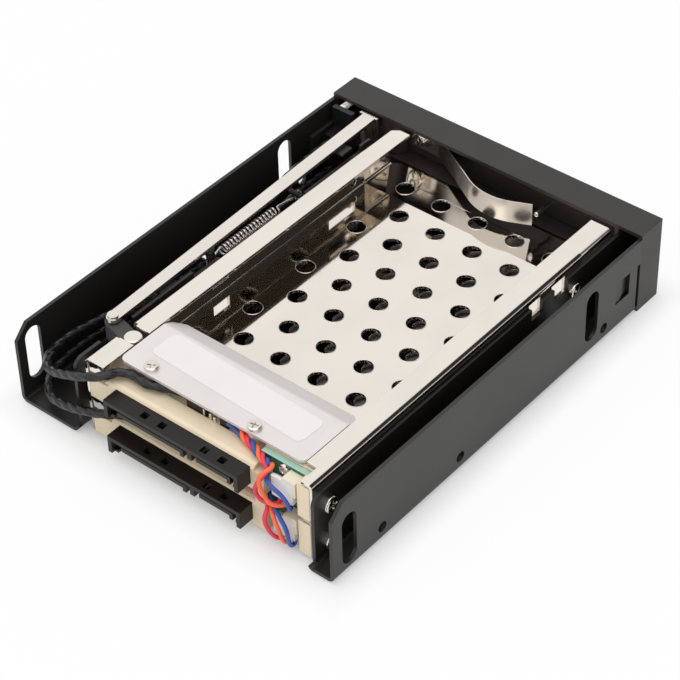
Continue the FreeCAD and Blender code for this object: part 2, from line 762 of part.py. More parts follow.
def board_holder(level):
    z = base(level)
    right = tray_right + seat
    clear_right = right + tray_bend
    shelf = box(clear_right, holder_left, holder_front, holder_middle, z + tray_sheet, z + shelf_top)
    block = box(right, holder_end, holder_middle, board_front - seat, z, z + ridge_top)
    ridge = z + ridge_top
    profile = [(back_front, z), (holder_rear, z), (holder_rear, ridge - 1.2)]
    profile += [(holder_rear - 0.6, ridge - 0.3), (holder_rear - 1.5, ridge), (back_front, ridge)]
    back = side(profile, ridge_right, ridge_left)
    slope = [(ridge_left, z), (ridge_left + 3.0, z), (ridge_left + 1.8, z + shoulder_top)]
    slope = front(slope + [(ridge_left, ridge)], back_front, holder_rear - 0.6)
    over_board = z + board_top + seat
    end_x = board_left + seat
    hood = [(board_tab + seat, over_board), (end_x, over_board), (end_x, ridge - 0.5), (ridge_left, ridge)]
    hood = front(hood + [(board_tab + seat, ridge)], ridge_front, back_front + 0.5)
    shoulder = box(ridge_left, holder_end, back_front, holder_rear, z, z + shoulder_top)
    roof = z + level_pitch - tray_sheet - tray_bend
    post = box(pocket[1], ridge_right, back_front, holder_rear, z, z + shoulder_top)
    column = box(right, pocket[0] - seat, back_front, holder_rear, z, roof)
    ends = [box(right, board_right - seat, board_front - 1, back_front + 1, z, ridge)]
    ends.append(box(end_x, holder_end, board_front - 1, back_front + 1, z, ridge - 0.5))
    tab_block = box(right, board_tab, holder_middle - 2, board_front - seat, z + tray_sheet + 4, roof)
    solids = [block, back, slope, hood, shoulder, post, column, tab_block] + ends
    for x, y in cover_screws:
        solids.append(rod_z(x, y, z + ridge_top - 0.5, cover_seat(level), boss_radius))
    if level == 0:
        solids.append(box(pocket[1], ridge_right, holder_rear - 1.2, holder_rear, z, z + level_pitch - seat))
    cuts = [box(plug_right - seat, plug_left + seat, holder_front - 1, board_front, z + socket_low - seat,
                z + socket_top + seat)]
    cuts.append(box(plug_right - seat, plug_left + seat, back_front - 1, holder_rear + 1, z + plug_low - seat,
                    z + plug_top + seat))
    stops = [cover_screws[0][0] - recess_margin]
    for x in recess_ribs:
        stops += [x + recess_rib / 2, x - recess_rib / 2]
    stops.append(cover_screws[1][0] + recess_margin)
    for x1, x0 in zip(stops[::2], stops[1::2]):
        cuts.append(box(x0, x1, recess_front, ridge_front, z + socket_top, ridge + 1))
    for x, y in cover_screws:
        cuts.append(rod_z(x, y, z + ridge_top - 0.4, cover_seat(level) + 1, screw_radius + pin_gap))
    bite = rear_screw_bite + seat
    for y in screw_places[1:]:
        for x0, x1 in ((right - 1, right + bite), (holder_end - bite, holder_end + 1)):
            cuts.append(rod_x(y, z + screw_height, x0, x1, screw_radius + pin_gap))
    bx, bz = board_screw
    cuts.append(rod_y(bx, z + bz, board_front - 4.2, board_front, board_screw_radius + pin_gap))
    return shelf.fuse(solids).cut(cuts)


def circuit_board(level):
    z = base(level)
    outline = [(board_right, z + board_low), (board_left, z + board_low), (board_left, z + board_top)]
    outline += [(board_tab, z + board_top), (board_tab, z + board_tab_top), (board_right, z + board_tab_top)]
    board = front(outline, board_front, board_front + board_thick)
    bx, bz = board_screw
    return board.cut(rod_y(bx, z + bz, board_front - 1, board_front + 3, board_screw_radius + pin_gap))


def host_plug(level):
    z = base(level)
    back = board_front + board_thick
    body = box(plug_right, plug_left, back, holder_rear + 0.6, z + plug_low, z + plug_top)
    roof = box(plug_right, plug_left, holder_rear, plug_rear, z + plug_top - plug_wall, z + plug_top)
    solids = [roof]
    for x0, x1, foot in ((plug_left - plug_wall, plug_left, -1), (plug_right, plug_right + plug_wall, 1)):
        solids.append(box(x0, x1, holder_rear, plug_rear, z + plug_low, z + plug_top))
        reach = plug_wall if foot > 0 else -plug_wall
        solids.append(box(min(x0, x0 + reach), max(x1, x1 + reach), holder_rear, plug_rear - 1.0,
                          z + plug_low, z + plug_low + 0.8))
    middle = (power_tongue[0] + signal_tongue[1]) / 2
    solids.append(box(middle - 0.7, middle + 0.7, holder_rear, plug_rear - 0.6, z + plug_low + 1.0,
                      z + plug_top))
    low = z + tongue_low
    for x0, x1 in (power_tongue, signal_tongue):
        solids.append(box(x0, x1, holder_rear, plug_rear - 0.7, low, low + tongue_sheet))
        solids.append(box(x0, x0 + key_wall, holder_rear, plug_rear - 0.7, low - 1.0, low + 0.5))
    y = (holder_rear + plug_rear) / 2
    cuts = [box(x - key_hole / 2, x + key_hole / 2, y - key_hole / 2, y + key_hole / 2,
                z + plug_top - plug_wall - 0.1, z + plug_top + 1) for x in key_places]
    return body.fuse(solids).cut(cuts)


def drive_socket(level):
    z = base(level)
    body = box(plug_right, plug_left, socket_shoulder, board_front, z + socket_low, z + socket_top)
    nose = box(plug_right + nose_inset, plug_left - nose_inset, socket_front, socket_shoulder + 1,
               z + socket_low + 0.8, z + socket_top - 0.6)
    cuts = []
    groove_end = socket_front + groove_depth
    for x0, x1 in (power_tongue, signal_tongue):
        cuts.append(box(x0 - 0.2, x1 + 0.2, socket_front - 1, groove_end, z + 3.6, z + 5.0))
        cuts.append(box(x0 - 0.2, x0 + key_wall + 0.1, socket_front - 1, groove_end, z + 3.0, z + 5.0))
    return body.fuse(nose).cut(cuts)


def wire_header(level):
    """A hood on the board: back, end wall and roof round the upper corner of the wire plug."""
    z = base(level)
    back = board_front + board_thick
    x0, x1 = header
    block = box(x0, x1, back, wire_plug_rear, z + header_low, z + header_top)
    well = box(x0 + header_wall, x1 + 1, back + header_wall, wire_plug_rear + 1, z + header_low - 1,
               z + header_top - header_wall)
    return block.cut(well)


def wire_plug(level):
    """An upright plug whose top slopes away from the board screw."""
    z = base(level)
    near = wire_plug_rear - wire_plug_thick
    top = z + wire_plug_top
    outline = [(near, z + wire_plug_low), (wire_plug_rear, z + wire_plug_low), (wire_plug_rear, top)]
    outline += [(near + wire_plug_slope, top), (near, top - wire_plug_slope)]
    return side(outline, header[0] + header_wall + pin_gap, wire_plug_end)


def board_screws():
    bx, bz = board_screw
    made = []
    for _, level in levels:
        made.append(screw((bx, board_front + board_thick, base(level) + bz), (0, 1, 0), 1.5, 0.9,
                          board_screw_radius, board_screw_length))
    return made


# Rear cover plate

def cover_plate():
    top = cover_seat(1) + cover_sheet
    points = [(cover_rear, top), (cover_bend, top), (cover_lip, top - cover_drop)]
    plate = folded_strip(points, [1.5], cover_sheet, lambda y, h: FreeCAD.Vector(cover_right, y, h),
                         FreeCAD.Vector(cover_left - cover_right, 0, 0))
    rear = [e for e in edges_along(plate, (0, 0, 1)) if e.CenterOfMass.y > cover_rear - 0.1]
    plate = plate.makeFillet(2.0, rear)
    cuts = [rod_z(x, y, top - 2, top + 1, screw_radius + pin_gap) for x, y in cover_screws]
    for x, hand in ((cover_left, -1), (cover_right, 1)):
        corner = [(x - hand, cover_lip - 1), (x + hand * 3.0, cover_lip - 1), (x + hand * 2.5, cover_lip)]
        corner += [(x, cover_lip + 2.5), (x - hand, cover_lip + 2.5)]
        cuts.append(plan(corner, top - 5, top + 1))
    return plate.cut(cuts)


def blank_label():
    top = cover_seat(1) + cover_sheet
    (lx, ly), (cx, cy) = label_size, label_centre
    label = box(cx - lx / 2, cx + lx / 2, cy - ly / 2, cy + ly / 2, top, top + label_sheet)
    label = label.makeFillet(2.0, edges_along(label, (0, 0, 1)))
    label.rotate(FreeCAD.Vector(cx, cy, 0), FreeCAD.Vector(0, 0, 1), label_turn)
    return label


def cover_screw_set():
    top = cover_seat(1) + cover_sheet
    made = []
    for x, y in cover_screws:
        made.append(screw((x, y, top), (0, 0, 1), cover_screw_head, cover_screw_rise, screw_radius,
                          cover_screw_length))
    return made


# Front controls

def switch_board_plate():
    low = bracket_floor + 0.7
    return box(switch_board[0], switch_board[1], switch_board_front, switch_board_front + switch_board_thick,
               low, outer_top - 0.4)


def tact_switches():
    made = []
    reach = switch_size / 2
    for _, level in levels:
        z = base(level) + button_height
        body = box(button_x - reach, button_x + reach, switch_board_front - switch_body, switch_board_front,
                   z - reach, z + reach)
        cap = rod_y(button_x, z, switch_board_front - switch_tall, switch_board_front - 1.0, stem_radius)
        made.append(body.fuse(cap))
    return made


def status_leds():
    made = []
    for _, level in levels:
        z = base(level) + light_height
        made.append(box(button_x - 0.8, button_x + 0.8, switch_board_front - switch_body, switch_board_front,
                        z - 0.6, z + 0.6))
    return made


def light_pipe(level):
    z = base(level) + light_height
    return rod_y(button_x, z, -bezel_depth, switch_board_front - switch_body - slide_gap, light_radius)


def power_button(level):
    z = base(level) + button_height
    inner = -bezel_depth + bezel_wall
    cap = box(button_x - button_width / 2, button_x + button_width / 2, -bezel_depth, inner + 0.6,
              z - button_tall / 2, z + button_tall / 2)
    front_edges = [e for e in cap.Edges if e.CenterOfMass.y < -bezel_depth + 0.01]
    cap = cap.makeFillet(0.4, front_edges)
    wide = button_width / 2 + button_skirt - 0.3
    skirt = box(button_x - wide, button_x + wide, inner + 0.2, inner + 1.0,
                z - button_tall / 2 - button_skirt, z + button_tall / 2 + button_skirt)
    stem_end = switch_board_front - switch_tall - button_travel - 0.2
    stem = rod_y(button_x, z, inner + 0.8, stem_end, stem_radius)
    return cap.fuse([skirt, stem])


# Leads and wires

lead_routes = {
    "lower": [
        (1.0, 113.2, 10.6), (4.2, 113.2, 10.6), (8.2, 116.9, 10.6), (14.6, 118.0, 10.8),
        (18.8, 119.4, 10.7), (22.4, 122.4, 10.8), (27.4, 123.6, 9.9), (33.2, 123.4, 7.8),
        (38.8, 122.9, 6.3), (43.6, 121.0, 5.4), (46.9, 116.6, 6.2), (47.4, 109.6, 7.8),
        (46.2, 99.0, 8.4), (45.2, 82.0, 7.0), (46.2, 60.0, 5.6), (45.4, 38.0, 5.0),
        (45.2, 20.0, 7.0), (45.2, 8.6, 7.0)],
    "upper": [
        (1.0, 113.2, 22.4), (4.2, 113.2, 22.4), (8.2, 115.3, 22.5), (12.8, 117.0, 22.6),
        (17.0, 116.2, 22.5), (20.3, 117.4, 22.3), (21.6, 122.0, 21.5), (26.2, 123.7, 19.9),
        (31.6, 123.5, 17.3), (37.2, 123.0, 14.9), (42.2, 121.5, 13.4), (46.1, 117.2, 13.2),
        (46.5, 110.6, 14.5), (45.4, 103.0, 14.2), (44.2, 92.0, 13.2), (44.6, 76.0, 12.2),
        (43.9, 54.0, 12.4), (45.0, 34.0, 13.4), (45.2, 20.0, 16.0), (45.2, 8.6, 16.0)]}

# Three wires per level, loose where they hang in loops to the wire plug
wire_routes = {
    "lower": {
        "red": [
            (-12.0, 114.2, 9.5), (-14.6, 114.2, 9.5), (-17.4, 117.0, 9.6), (-22.0, 118.4, 9.7),
            (-28.4, 118.5, 9.5), (-29.4, 121.0, 9.0), (-28.7, 122.6, 7.2), (-28.6, 122.5, 4.6),
            (-30.2, 122.0, 2.2), (-31.5, 120.9, 0.9), (-32.2, 119.3, 0.95), (-32.2, 119.3, 3.1)],
        "orange": [
            (-12.0, 114.2, 10.65), (-14.6, 114.2, 10.65), (-17.4, 117.0, 10.8), (-22.0, 118.4, 10.9),
            (-28.6, 118.5, 10.7), (-30.4, 121.0, 10.4), (-30.7, 122.8, 8.2), (-31.2, 122.7, 5.2),
            (-32.6, 122.2, 2.4), (-33.5, 121.0, 0.9), (-34.0, 119.3, 0.95), (-34.0, 119.3, 3.1)],
        "blue": [
            (-12.0, 114.2, 11.8), (-14.6, 114.2, 11.8), (-17.4, 117.0, 12.0), (-22.0, 118.4, 12.1),
            (-28.8, 118.5, 11.9), (-31.6, 120.8, 11.3), (-33.9, 122.5, 9.0), (-34.8, 122.6, 5.6),
            (-35.4, 122.2, 2.8), (-35.8, 121.0, 0.95), (-35.8, 119.3, 0.95), (-35.8, 119.3, 3.1)]},
    "upper": {
        "red": [
            (-26.2, 122.6, 19.6), (-26.0, 123.0, 16.4), (-27.4, 123.2, 13.9), (-29.8, 122.6, 12.6),
            (-31.5, 121.1, 12.2), (-32.2, 119.3, 12.6), (-32.2, 119.3, 14.9)],
        "orange": [
            (-28.4, 121.2, 20.4), (-28.4, 122.6, 18.0), (-28.2, 123.0, 15.8), (-30.0, 122.9, 13.8),
            (-32.6, 121.8, 12.5), (-34.0, 119.3, 12.7), (-34.0, 119.3, 14.9)],
        "blue": [
            (-28.8, 120.4, 22.5), (-31.2, 121.8, 20.4), (-34.0, 122.3, 18.4), (-36.0, 122.2, 16.2),
            (-36.6, 121.7, 13.8), (-36.2, 120.6, 12.2), (-35.8, 119.3, 12.6), (-35.8, 119.3, 14.9)]}}
twist_centres = [
    (-12.0, 114.2, 22.3), (-14.8, 114.4, 22.3), (-17.6, 117.2, 22.5), (-20.6, 118.3, 22.6),
    (-23.6, 118.9, 22.5), (-26.2, 120.2, 22.1)]
twist_radius = 0.85
twist_step = 60.0
twist_end = {"red": 180.0, "orange": 300.0, "blue": 60.0}


def twisted_start(colour):
    """One wire of the upper bundle, a sixth of a turn further round at every station."""
    route = []
    last = len(twist_centres) - 1
    for i, (x, y, z) in enumerate(twist_centres):
        ax, ay, _ = twist_centres[max(i - 1, 0)]
        bx, by, _ = twist_centres[min(i + 1, last)]
        length = math.hypot(bx - ax, by - ay)
        across = ((ay - by) / length, (bx - ax) / length)
        angle = math.radians(twist_end[colour] - twist_step * (last - i))
        out = twist_radius * math.cos(angle)
        route.append((x + out * across[0], y + out * across[1], z + twist_radius * math.sin(angle)))
    return route


def wire_route(name, colour):
    start = twisted_start(colour) if name == "upper" else []
    return start + wire_routes[name][colour]


def lead_connectors(name, level):
    """The plug under the cover and the plug on the switch board."""
    low = base(level) + socket_top
    route = lead_routes[name]
    x, y, h = route[0]
    length, ahead, behind, rise = lead_plug
    inner = box(x - length, x, y - ahead, y + behind, low, h + rise)
    h = route[-1][2]
    middle, reach, tall = board_plug
    outer = box(middle - reach, middle + reach, switch_board_front + switch_board_thick, route[-1][1],
                h - tall, h + tall)
    rear = ridge_front - 0.2
    x0, x1 = harness_plug
    harness = box(x0, x1, rear - harness_depth, rear, low, base(level) + harness_top)
    return [inner, harness, outer]


add("front_bezel", front_bezel())
add("door_hinge_pin", rod_z(hinge_x, hinge_y, bezel_floor - 0.6, bezel_height - 0.6, pin_radius))
add("left_side_bracket", left_bracket())
add("right_side_bracket", right_bracket())
add("rear_cover_plate", cover_plate())
add("blank_label", blank_label())
add("cover_screws", *cover_screw_set())
right_wall = tray_right - wall_right + bracket_sheet
right_lengths = (right_wall, right_wall + rear_screw_bite)
add("right_bracket_screws", *bracket_screws(wall_right - bracket_sheet, -1, right_lengths))
left_wall = left_inner_face + bracket_sheet - tray_left
left_lengths = (left_wall, left_wall + rear_screw_bite)
add("left_bracket_screws", *bracket_screws(left_inner_face + bracket_sheet, 1, left_lengths))
add("left_spacers", *spacers())
add("circuit_board_screws", *board_screws())
add("switch_board", switch_board_plate())
add("tact_switches", *tact_switches())
add("status_leds", *status_leds())
add("lever_pivot_pin", pivot_pin())
for name, level in levels:
    add(f"{name}_cage_tray", cage_tray(level))
    add(f"{name}_board_holder", board_holder(level))
    add(f"{name}_circuit_board", circuit_board(level))
    add(f"{name}_host_plug", host_plug(level))
    add(f"{name}_drive_socket", drive_socket(level))
    add(f"{name}_wire_header", wire_header(level))
    add(f"{name}_wire_plug", wire_plug(level))
    add(f"{name}_light_pipe", light_pipe(level))
    add(f"{name}_door", door(level))
    add(f"{name}_leaf_spring", leaf_spring(level))
    add(f"{name}_leaf_screw", leaf_screw(level))
    add(f"{name}_eject_rod", eject_rod(level))
    add(f"{name}_rod_pin", rod_pin(level))
    add(f"{name}_eject_lever", eject_lever(level))
    add(f"{name}_return_spring", return_spring(level, f"{name}_return_spring"))
    add(f"{name}_power_button", power_button(level))
    add(f"{name}_black_lead", cord(lead_routes[name], lead_radius, f"{name}_black_lead"))
    add(f"{name}_lead_connectors", *lead_connectors(name, level))
    for colour in wire_routes[name]:
        add(f"{name}_{colour}_wire", cord(wire_route(name, colour), wire_radius, f"{name}_{colour}_wire"))

os.makedirs("parts", exist_ok=True)
for name, shape in parts.items():
    shape = shape.removeSplitter()
    shape.translate(FreeCAD.Vector(0, -mid_y, 0))
    if not shape.isValid():
        print("not valid:", name)
    shape.exportStep(f"parts/{name}.step")
print(len(parts), "nodes")
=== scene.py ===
import math

import bmesh
import bpy
from mathutils import Matrix, Quaternion, Vector


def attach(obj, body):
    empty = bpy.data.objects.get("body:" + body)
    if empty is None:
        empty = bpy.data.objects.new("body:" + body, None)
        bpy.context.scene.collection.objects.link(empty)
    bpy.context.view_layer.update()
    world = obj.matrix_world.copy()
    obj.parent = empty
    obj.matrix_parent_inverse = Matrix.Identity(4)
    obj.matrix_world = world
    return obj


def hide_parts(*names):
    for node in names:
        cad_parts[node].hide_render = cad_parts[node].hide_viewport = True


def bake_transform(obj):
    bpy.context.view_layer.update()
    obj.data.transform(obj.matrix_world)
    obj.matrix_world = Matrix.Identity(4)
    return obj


# Lengths below are in millimetres, with Y counted from the back of the front bezel,
# as on the bench. spot() turns such a point into metres in the frame of the cage.

mm = 0.001
bench_shift = 57.75
tray_bottom = 1.2
level_pitch = 11.8
levels = (("lower", 0), ("upper", 1))


def spot(x, y, z):
    return Vector((x, y - bench_shift, z)) * mm


def base(level):
    return tray_bottom + level * level_pitch


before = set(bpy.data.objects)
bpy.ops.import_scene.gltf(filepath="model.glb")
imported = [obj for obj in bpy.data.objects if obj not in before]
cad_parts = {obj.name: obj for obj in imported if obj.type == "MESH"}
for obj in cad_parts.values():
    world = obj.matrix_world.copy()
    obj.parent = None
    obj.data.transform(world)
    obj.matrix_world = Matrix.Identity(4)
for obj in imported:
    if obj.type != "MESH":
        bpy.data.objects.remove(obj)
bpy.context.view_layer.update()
bpy.ops.object.select_all(action="DESELECT")
scene = bpy.context.scene
scene.view_settings.view_transform = "Standard"


def added(name, data):
    """A new object of the scene, made from its data."""
    obj = bpy.data.objects.new(name, data)
    scene.collection.objects.link(obj)
    return obj


def aim(obj, place, target, roll=0.0):
    """Puts the camera or a lamp at its place and turns it to its target."""
    look = (target - place).to_track_quat("-Z", "Y")
    obj.location = place
    obj.rotation_mode = "QUATERNION"
    obj.rotation_quaternion = look @ Quaternion((0, 0, 1), roll)


# Camera

camera_place = spot(-305.55, 415.99, 416.51)
camera_target = spot(-6.19, 66.74, 12.0)
camera_roll = math.radians(-1.61)

camera_data = bpy.data.cameras.new("photo_camera")
camera_data.lens = 129.7
camera_data.sensor_width = 36
camera_data.clip_start = 0.02
camera_data.clip_end = 20
camera = added("photo_camera", camera_data)
aim(camera, camera_place, camera_target, camera_roll)
scene.camera = camera


# Shader helpers

class Socket:
    """An output that takes part in sums: each sum on it adds a Math node."""

    def __init__(self, paint, end):
        self.paint = paint
        self.end = end

    def sum(self, operation, first, second):
        return self.paint.node("ShaderNodeMath", {"operation": operation}, {0: first, 1: second})

    def __add__(self, other):
        return self.sum("ADD", self, other)

    def __radd__(self, other):
        return self.sum("ADD", other, self)

    def __sub__(self, other):
        return self.sum("SUBTRACT", self, other)

    def __rsub__(self, other):
        return self.sum("SUBTRACT", other, self)

    def __mul__(self, other):
        return self.sum("MULTIPLY", self, other)

    def __rmul__(self, other):
        return self.sum("MULTIPLY", other, self)


class Paint:
    """The nodes of one material, or of the world."""

    def __init__(self, owner):
        owner.use_nodes = True
        self.owner = owner
        self.tree = owner.node_tree
        self.tree.nodes.clear()

    def node(self, kind, settings=None, sockets=None, output=0):
        made = self.tree.nodes.new(kind)
        for key, value in (settings or {}).items():
            setattr(made, key, value)
        for key, value in (sockets or {}).items():
            if isinstance(value, Socket):
                self.tree.links.new(value.end, made.inputs[key])
            else:
                made.inputs[key].default_value = value
        return Socket(self, made.outputs[output]) if len(made.outputs) else None

    def place(self, stretch=(1, 1, 1)):
        point = self.node("ShaderNodeTexCoord", output="Object")
        return self.node("ShaderNodeVectorMath", {"operation": "MULTIPLY"}, {0: point, 1: stretch})

    def part(self, vector, axis):
        return self.node("ShaderNodeSeparateXYZ", {}, {0: vector}, axis)

    def noise(self, stretch, detail=2.0, roughness=0.5):
        sockets = {"Vector": self.place(stretch), "Scale": 1.0, "Detail": detail, "Roughness": roughness}
        return self.node("ShaderNodeTexNoise", {}, sockets)

    def span(self, value, low, high, curve="LINEAR"):
        sockets = {"Value": value, "From Min": low, "From Max": high}
        return self.node("ShaderNodeMapRange", {"interpolation_type": curve, "clamp": True}, sockets)

    def mix(self, share, first, second):
        """A colour between two others: those of a Mix node are its sockets 6 and 7 and its output 2."""
        sockets = {0: share}
        for index, tint in ((6, first), (7, second)):
            sockets[index] = tint if isinstance(tint, Socket) else (*tint, 1)
        return self.node("ShaderNodeMix", {"data_type": "RGBA"}, sockets, 2)

    def rounded(self, radius):
        return self.node("ShaderNodeBevel", {"samples": 4}, {"Radius": radius * mm})

    def bump(self, height, depth, normal=None):
        sockets = {"Height": height, "Strength": 1.0, "Distance": depth * mm}
        if normal is not None:
            sockets["Normal"] = normal
        return self.node("ShaderNodeBump", {}, sockets)

    def edge(self, rounded):
        """How far the rounded normal leans away from the flat one, from 0 to about 0.3 at an edge."""
        flat = self.node("ShaderNodeNewGeometry", output="Normal")
        dot = {"operation": "DOT_PRODUCT"}
        return 1 - self.node("ShaderNodeVectorMath", dot, {0: rounded, 1: flat}, "Value")

    def ray(self, kind):
        return self.node("ShaderNodeLightPath", output=f"Is {kind} Ray")

    def in_view(self):
        """1 where the camera sees it, straight or in metal and glass, and 0 where it only gives light."""
        return self.span(self.ray("Camera") + self.ray("Glossy") + self.ray("Transmission"), 0.0, 1.0)

    def finish(self, sockets):
        shader = self.node("ShaderNodeBsdfPrincipled", {}, sockets)
        self.node("ShaderNodeOutputMaterial", {}, {"Surface": shader})
        return self.owner


def new_paint(name):
    return Paint(bpy.data.materials.new(name))


def linear(level):
    return level / 255 / 12.92 if level < 10 else ((level / 255 + 0.055) / 1.055) ** 2.4


def colour(red, green, blue):
    """A colour of the picture, 0 to 255, as linear light."""
    return (linear(red), linear(green), linear(blue))


# Finishes, with grain and bump scales as waves per metre and depths in millimetres

rolling = (2600, 70, 2600)
fine_grain = (900, 900, 900)
satin_grain = (1500, 1500, 1500)
leaf_grain = (80, 3000, 3000)
sheet_smudges = (60, 45, 60)
coat_smudges = (55, 40, 55)
plastic_flow = (120, 90, 120)
smudge_shade = 0.93
droop_front = -2.0
droop_rear = 15.0


def rolled_steel(name, shade, gloss, grain_depth, grain=rolling, edge_round=0.12, metal=1.0, droop=0.0):
    """Sheet steel with grain and faint smudges, whose front can look as if it drooped a little."""
    paint = new_paint(name)
    streaks = paint.noise(grain, 3.0)
    smudges = paint.noise(sheet_smudges, 3.0)
    dull = tuple(c * smudge_shade for c in shade)
    tone = paint.mix(paint.span(smudges, 0.4, 0.75), shade, dull)
    roughness = streaks * 0.04 + paint.span(smudges, 0.45, 0.8) * 0.05 + gloss
    normal = paint.bump(streaks, grain_depth, paint.rounded(edge_round))
    if droop:
        along = paint.part(paint.place(), "Y")
        fall = paint.span(along, spot(0, droop_front, 0).y, spot(0, droop_rear, 0).y)
        normal = paint.bump(fall, droop, normal)
    return paint.finish({"Base Color": tone, "Metallic": metal, "Roughness": roughness, "Normal": normal})


def powder_coat(name, shade, gloss, depth, scale, edge_round, wear):
    """Black coating with fine orange peel, dust and lightly rubbed edges."""
    paint = new_paint(name)
    peel = paint.noise((scale, scale, scale), 2.0)
    dust = paint.noise(fine_grain, 4.0, 0.7)
    smudges = paint.noise(coat_smudges, 3.0)
    rounded = paint.rounded(edge_round)
    rubbed = paint.span(paint.edge(rounded), 0.02, 0.22) * paint.span(dust, 0.35, 0.6)
    pale = tuple(c + wear for c in shade)
    tone = paint.mix(rubbed, shade, pale)
    roughness = smudges * 0.1 + peel * 0.04 + gloss
    normal = paint.bump(peel, depth, rounded)
    return paint.finish({"Base Color": tone, "Roughness": roughness, "Normal": normal})


def moulded(name, shade, gloss, depth=0.004, scale=2400, edge_round=0.15, blotch=0.06, shine=0.5):
    """Moulded plastic with a fine skin, slow colour change and soft edges."""
    paint = new_paint(name)
    skin = paint.noise((scale, scale, scale), 2.0)
    flow = paint.noise(plastic_flow, 2.0)
    deep = tuple(c * (1 - blotch) for c in shade)
    tone = paint.mix(paint.span(flow, 0.35, 0.7), shade, deep)
    roughness = flow * 0.08 + skin * 0.05 + gloss
    normal = paint.bump(skin, depth, paint.rounded(edge_round))
    sockets = {"Base Color": tone, "Roughness": roughness, "Normal": normal, "Specular IOR Level": shine}
    return paint.finish(sockets)


def board_laminate(name):
    """Green solder mask over traces, with a pale sawn edge on top."""
    paint = new_paint(name)
    upward = paint.part(paint.node("ShaderNodeNewGeometry", output="Normal"), "Z")
    traces = paint.node("ShaderNodeTexBrick", {}, {"Vector": paint.place((260, 1, 420)), "Scale": 1.0}, "Fac")
    mask = paint.mix(traces, colour(20, 92, 62), colour(46, 128, 92))
    tone = paint.mix(paint.span(upward, 0.6, 0.9), mask, colour(168, 205, 190))
    roughness = paint.noise((600, 600, 600)) * 0.15 + 0.22
    normal = paint.bump(traces, 0.02, paint.rounded(0.08))
    return paint.finish({"Base Color": tone, "Roughness": roughness, "Normal": normal})


def sleeve(name):
    """Black woven sleeve with a fine glossy grain."""
    paint = new_paint(name)
    speck = paint.noise((2200, 2200, 2200), 3.0)
    tone = paint.mix(paint.span(speck, 0.52, 0.72), colour(16, 16, 17), colour(40, 41, 43))
    normal = paint.bump(speck, 0.06)
    return paint.finish({"Base Color": tone, "Roughness": speck * 0.25 + 0.2, "Normal": normal})


tray_steel = (0.83, 0.775, 0.705)
# The tray steel darkened as painted shade, for the lower tray, which lies in the shade under the upper tray
shaded_steel = (0.46, 0.43, 0.40)
cover_steel = (0.76, 0.715, 0.705)
rod_steel = (0.80, 0.745, 0.69)
screw_nickel = (0.74, 0.70, 0.64)
pin_steel = (0.80, 0.765, 0.70)
spring_steel = (0.80, 0.77, 0.73)
leaf_steel = (0.66, 0.62, 0.57)

paints = {
    "tray": rolled_steel("tray_bright_steel", tray_steel, 0.035, 0.0008, edge_round=0.3, droop=2.6),
    # The lower tray: the same steel as the upper one, with painted shade in its colour
    "lower_tray": rolled_steel("tray_shaded_steel", shaded_steel, 0.035, 0.0008, edge_round=0.3),
    "cover": rolled_steel("cover_satin_steel", cover_steel, 0.5, 0.004, satin_grain, metal=0.7),
    "rod": rolled_steel("rod_steel", rod_steel, 0.16, 0.003),
    "screw": rolled_steel("screw_nickel", screw_nickel, 0.14, 0.002, fine_grain, 0.08),
    "pin": rolled_steel("pin_steel", pin_steel, 0.2, 0.002, fine_grain, 0.08),
    "spring": rolled_steel("spring_wire", spring_steel, 0.2, 0.001, fine_grain, 0.05, 0.8),
    "leaf": rolled_steel("leaf_spring_steel", leaf_steel, 0.2, 0.003, leaf_grain, 0.1),
    "bracket": powder_coat("bracket_powder_coat", colour(31, 28, 26), 0.34, 0.02, 1500, 0.12, 0.015),
    "bezel": moulded("bezel_black_plastic", colour(42, 37, 34), 0.42, 0.012, 3200, 0.2, 0.1),
    "lever": moulded("lever_grey_plastic", colour(62, 61, 61), 0.5, 0.006),
    "cream": moulded("holder_cream_nylon", colour(236, 219, 189), 0.34, 0.006, 1800, 0.2),
    "plug": moulded("plug_black_nylon", colour(26, 22, 19), 0.3, 0.006, 2600, 0.1, 0.1, 0.3),
    "ivory": moulded("header_ivory_nylon", colour(240, 230, 205), 0.36, 0.005),
    "white": moulded("wire_plug_natural_nylon", colour(238, 236, 234), 0.3, 0.004, 2000, 0.12, 0.03),
    "green": board_laminate("circuit_board_laminate"),
    "black_board": moulded("switch_board_black", colour(20, 24, 22), 0.35),
    "label": moulded("label_paper", colour(232, 229, 228), 0.6, 0.002, 3000, 0.05, 0.02),
    "red": moulded("wire_red", colour(232, 58, 84), 0.3, 0.004, 2500, 0.05, 0.12),
    "orange": moulded("wire_orange", colour(255, 112, 66), 0.3, 0.004, 2500, 0.05, 0.1),
    "blue": moulded("wire_blue", colour(52, 88, 170), 0.3, 0.004, 2500, 0.05, 0.12),
    "lead": sleeve("lead_braided_sleeve"),
    "clear": moulded("light_pipe_clear", colour(225, 232, 236), 0.12, 0.001),
    "led": moulded("led_white", colour(240, 236, 214), 0.2, 0.001),
    "switch": moulded("switch_body", colour(52, 52, 54), 0.4),
}

node_paints = {
    "front_bezel": "bezel", "door_hinge_pin": "pin", "left_side_bracket": "bracket",
    "right_side_bracket": "bracket", "rear_cover_plate": "cover", "blank_label": "label",
    "left_spacers": "pin", "switch_board": "black_board", "tact_switches": "switch",
    "status_leds": "led", "lever_pivot_pin": "pin", "cage_tray": "tray", "board_holder": "cream",
    "circuit_board": "green", "host_plug": "plug", "drive_socket": "cream", "wire_header": "ivory",
    "wire_plug": "white", "light_pipe": "clear", "door": "bezel", "leaf_spring": "leaf",
    "eject_rod": "rod", "rod_pin": "pin", "eject_lever": "lever", "power_button": "bezel",
    "lead_connectors": "plug"}

for node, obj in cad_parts.items():
    kind = node.removeprefix("lower_").removeprefix("upper_")
    if kind in node_paints:
        for held in obj.material_slots:
            held.material = paints[node_paints[kind]]


# Modelling helpers

plate_crease = math.radians(30)
head_crease = math.radians(40)


